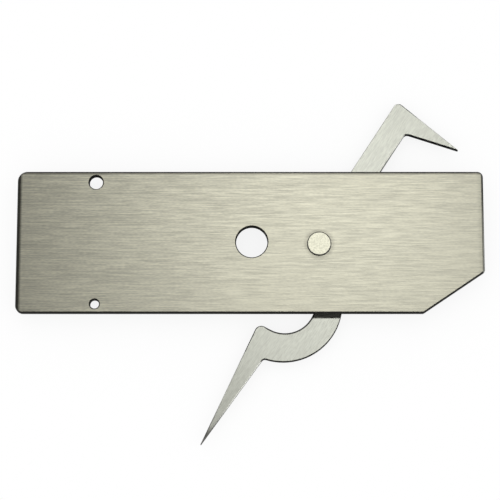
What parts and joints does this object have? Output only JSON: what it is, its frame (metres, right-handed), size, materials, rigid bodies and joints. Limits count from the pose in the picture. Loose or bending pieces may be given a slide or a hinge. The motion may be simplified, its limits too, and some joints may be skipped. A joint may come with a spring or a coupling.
{
  "type": "weld gauge",
  "caption": "Flat brushed steel weld gauge plate with a sloping nose and pore comparison holes, and a riveted S-shaped pointer that swings under it.",
  "frame": {"origin": "axis of the hanging hole, half way through the plate's thickness", "axes": "+X along the plate towards the sloping nose, +Y from the datum edge to the far edge, +Z out of the plain back face"},
  "size_m": [0.0826, 0.0612, 0.0042],
  "materials": {
    "plate_steel": "line brushed along the plate, warm grey",
    "pointer_steel": "fine brushed along the arm, lighter grey",
    "rivet_steel": "pressed flat, satin",
    "spring_steel": "plain spring steel"
  },
  "bodies": {
    "gauge_body": {"body_plate": "plate_steel", "pivot_rivet": "rivet_steel", "spring_washer": "spring_steel"},
    "swing_pointer": {"pointer": "pointer_steel"}
  },
  "joints": [
    {"name": "pointer_pivot", "type": "hinge", "parent": "gauge_body", "child": "swing_pointer", "pos_m": [0.0119, -0.00035, -0.00145], "axis": [0, 0, 1], "continuous": true}
  ]
}
